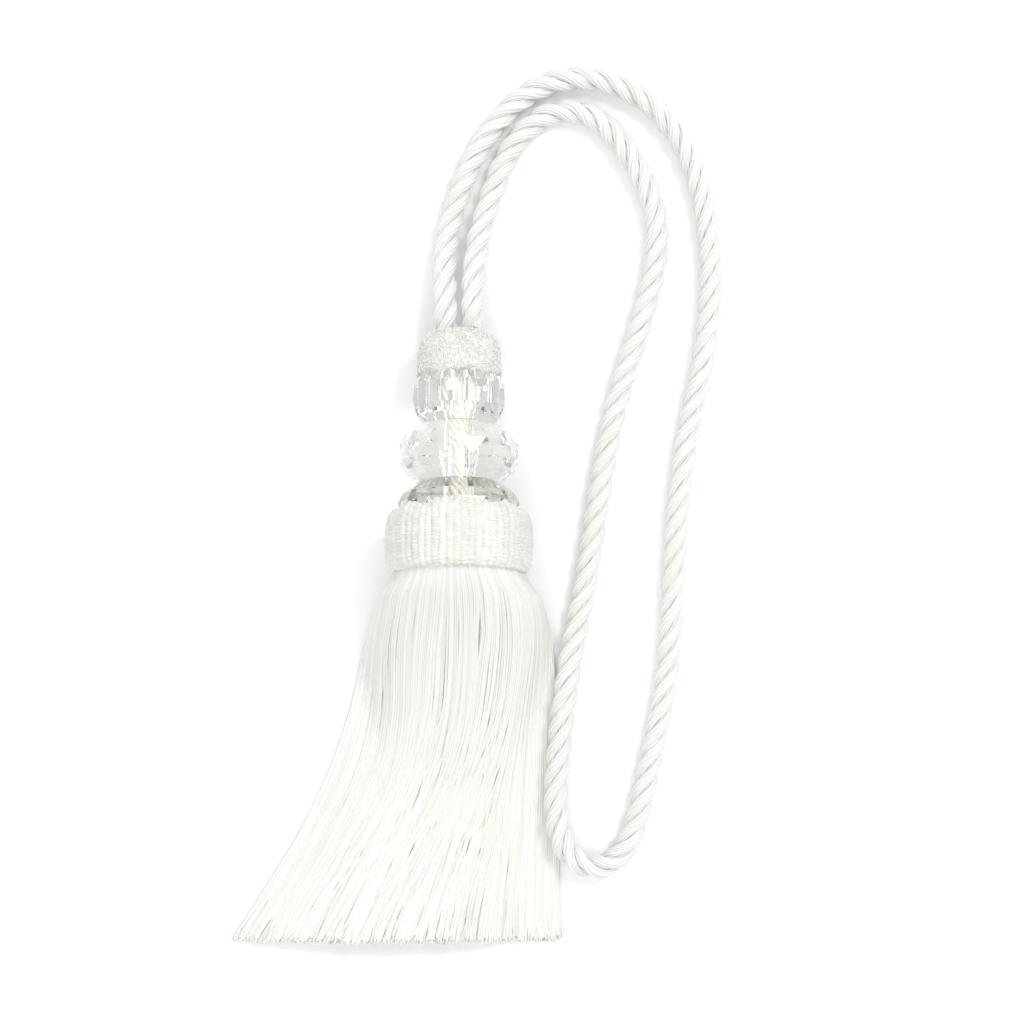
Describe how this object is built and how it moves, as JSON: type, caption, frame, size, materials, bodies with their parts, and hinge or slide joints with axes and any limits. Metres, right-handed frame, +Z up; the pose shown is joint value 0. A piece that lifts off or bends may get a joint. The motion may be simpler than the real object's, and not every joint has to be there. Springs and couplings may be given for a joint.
{
  "type": "curtain tieback tassel",
  "caption": "Curtain tieback laid out: a loop of twisted cord, a looped collar, clear faceted beads on a cotton core, a gimp ruff and a fanned skirt of cut yarn.",
  "frame": {"origin": "the flat resting spot under the ruff, on the surface that the tassel lies on, straight below the head's axis", "axes": "+Y along the head from the skirt towards the collar, +Z up from the surface, +X to the right seen from above"},
  "size_m": [0.1559, 0.2774, 0.0455],
  "materials": {
    "cord_rayon": "silky",
    "collar_gimp": "matt",
    "core_cotton": "matt",
    "clear_acrylic": "polished",
    "ruff_gimp": "silky",
    "skirt_yarn": "silky"
  },
  "bodies": {
    "root": {"rope": "cord_rayon", "collar": "collar_gimp", "core": "core_cotton", "bead_top": "clear_acrylic", "bead_mid": "clear_acrylic", "bead_low": "clear_acrylic", "ruff": "ruff_gimp", "skirt": "skirt_yarn"}
  },
  "joints": []
}
